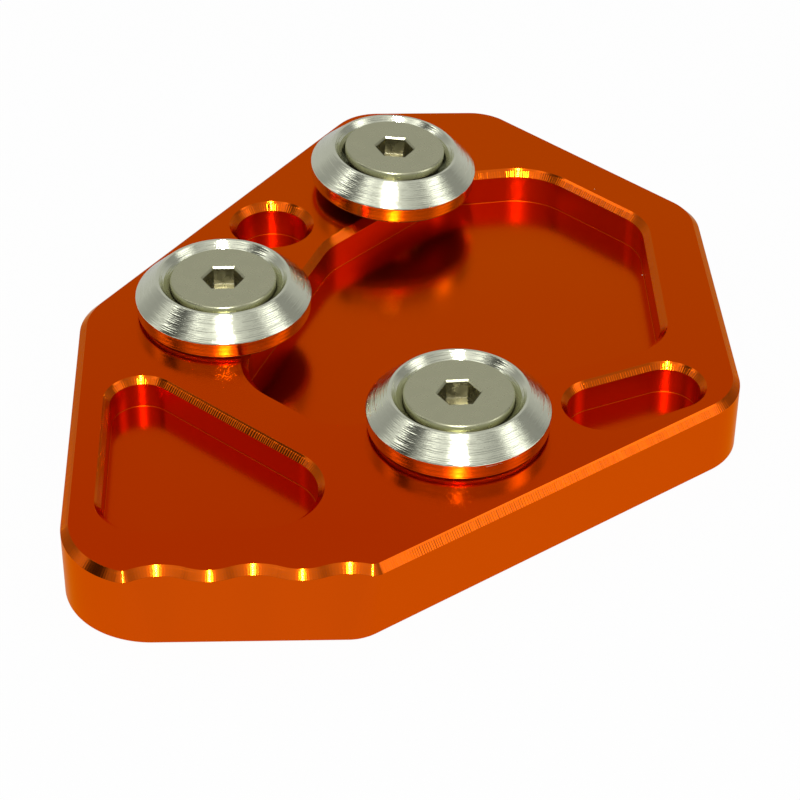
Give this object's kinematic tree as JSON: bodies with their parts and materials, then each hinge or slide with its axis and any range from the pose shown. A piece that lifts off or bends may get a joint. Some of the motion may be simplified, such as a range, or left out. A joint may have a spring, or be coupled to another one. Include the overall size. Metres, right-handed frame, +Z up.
{
  "type": "kickstand foot enlarger",
  "caption": "Orange anodised plate that widens the foot of a motorcycle side stand, with pockets, a scalloped front edge and bevelled clamp washers held by flush socket screws.",
  "frame": {"origin": "middle of the plate's outline, on its underside", "axes": "+Z up out of the pocketed top, +Y away from the scalloped front edge, +X to the right"},
  "size_m": [0.0735, 0.0902, 0.0145],
  "materials": {
    "anodised_plate": "glossy orange anodised, milled",
    "turned_washer": "bright, with fine turning grooves",
    "screw_steel": "satin grey"
  },
  "bodies": {
    "root": {"base_plate": "anodised_plate", "clamp_washer_front": "turned_washer", "clamp_washer_left": "turned_washer", "clamp_washer_back": "turned_washer", "clamp_screw_front": "screw_steel", "clamp_screw_left": "screw_steel", "clamp_screw_back": "screw_steel"}
  },
  "joints": []
}
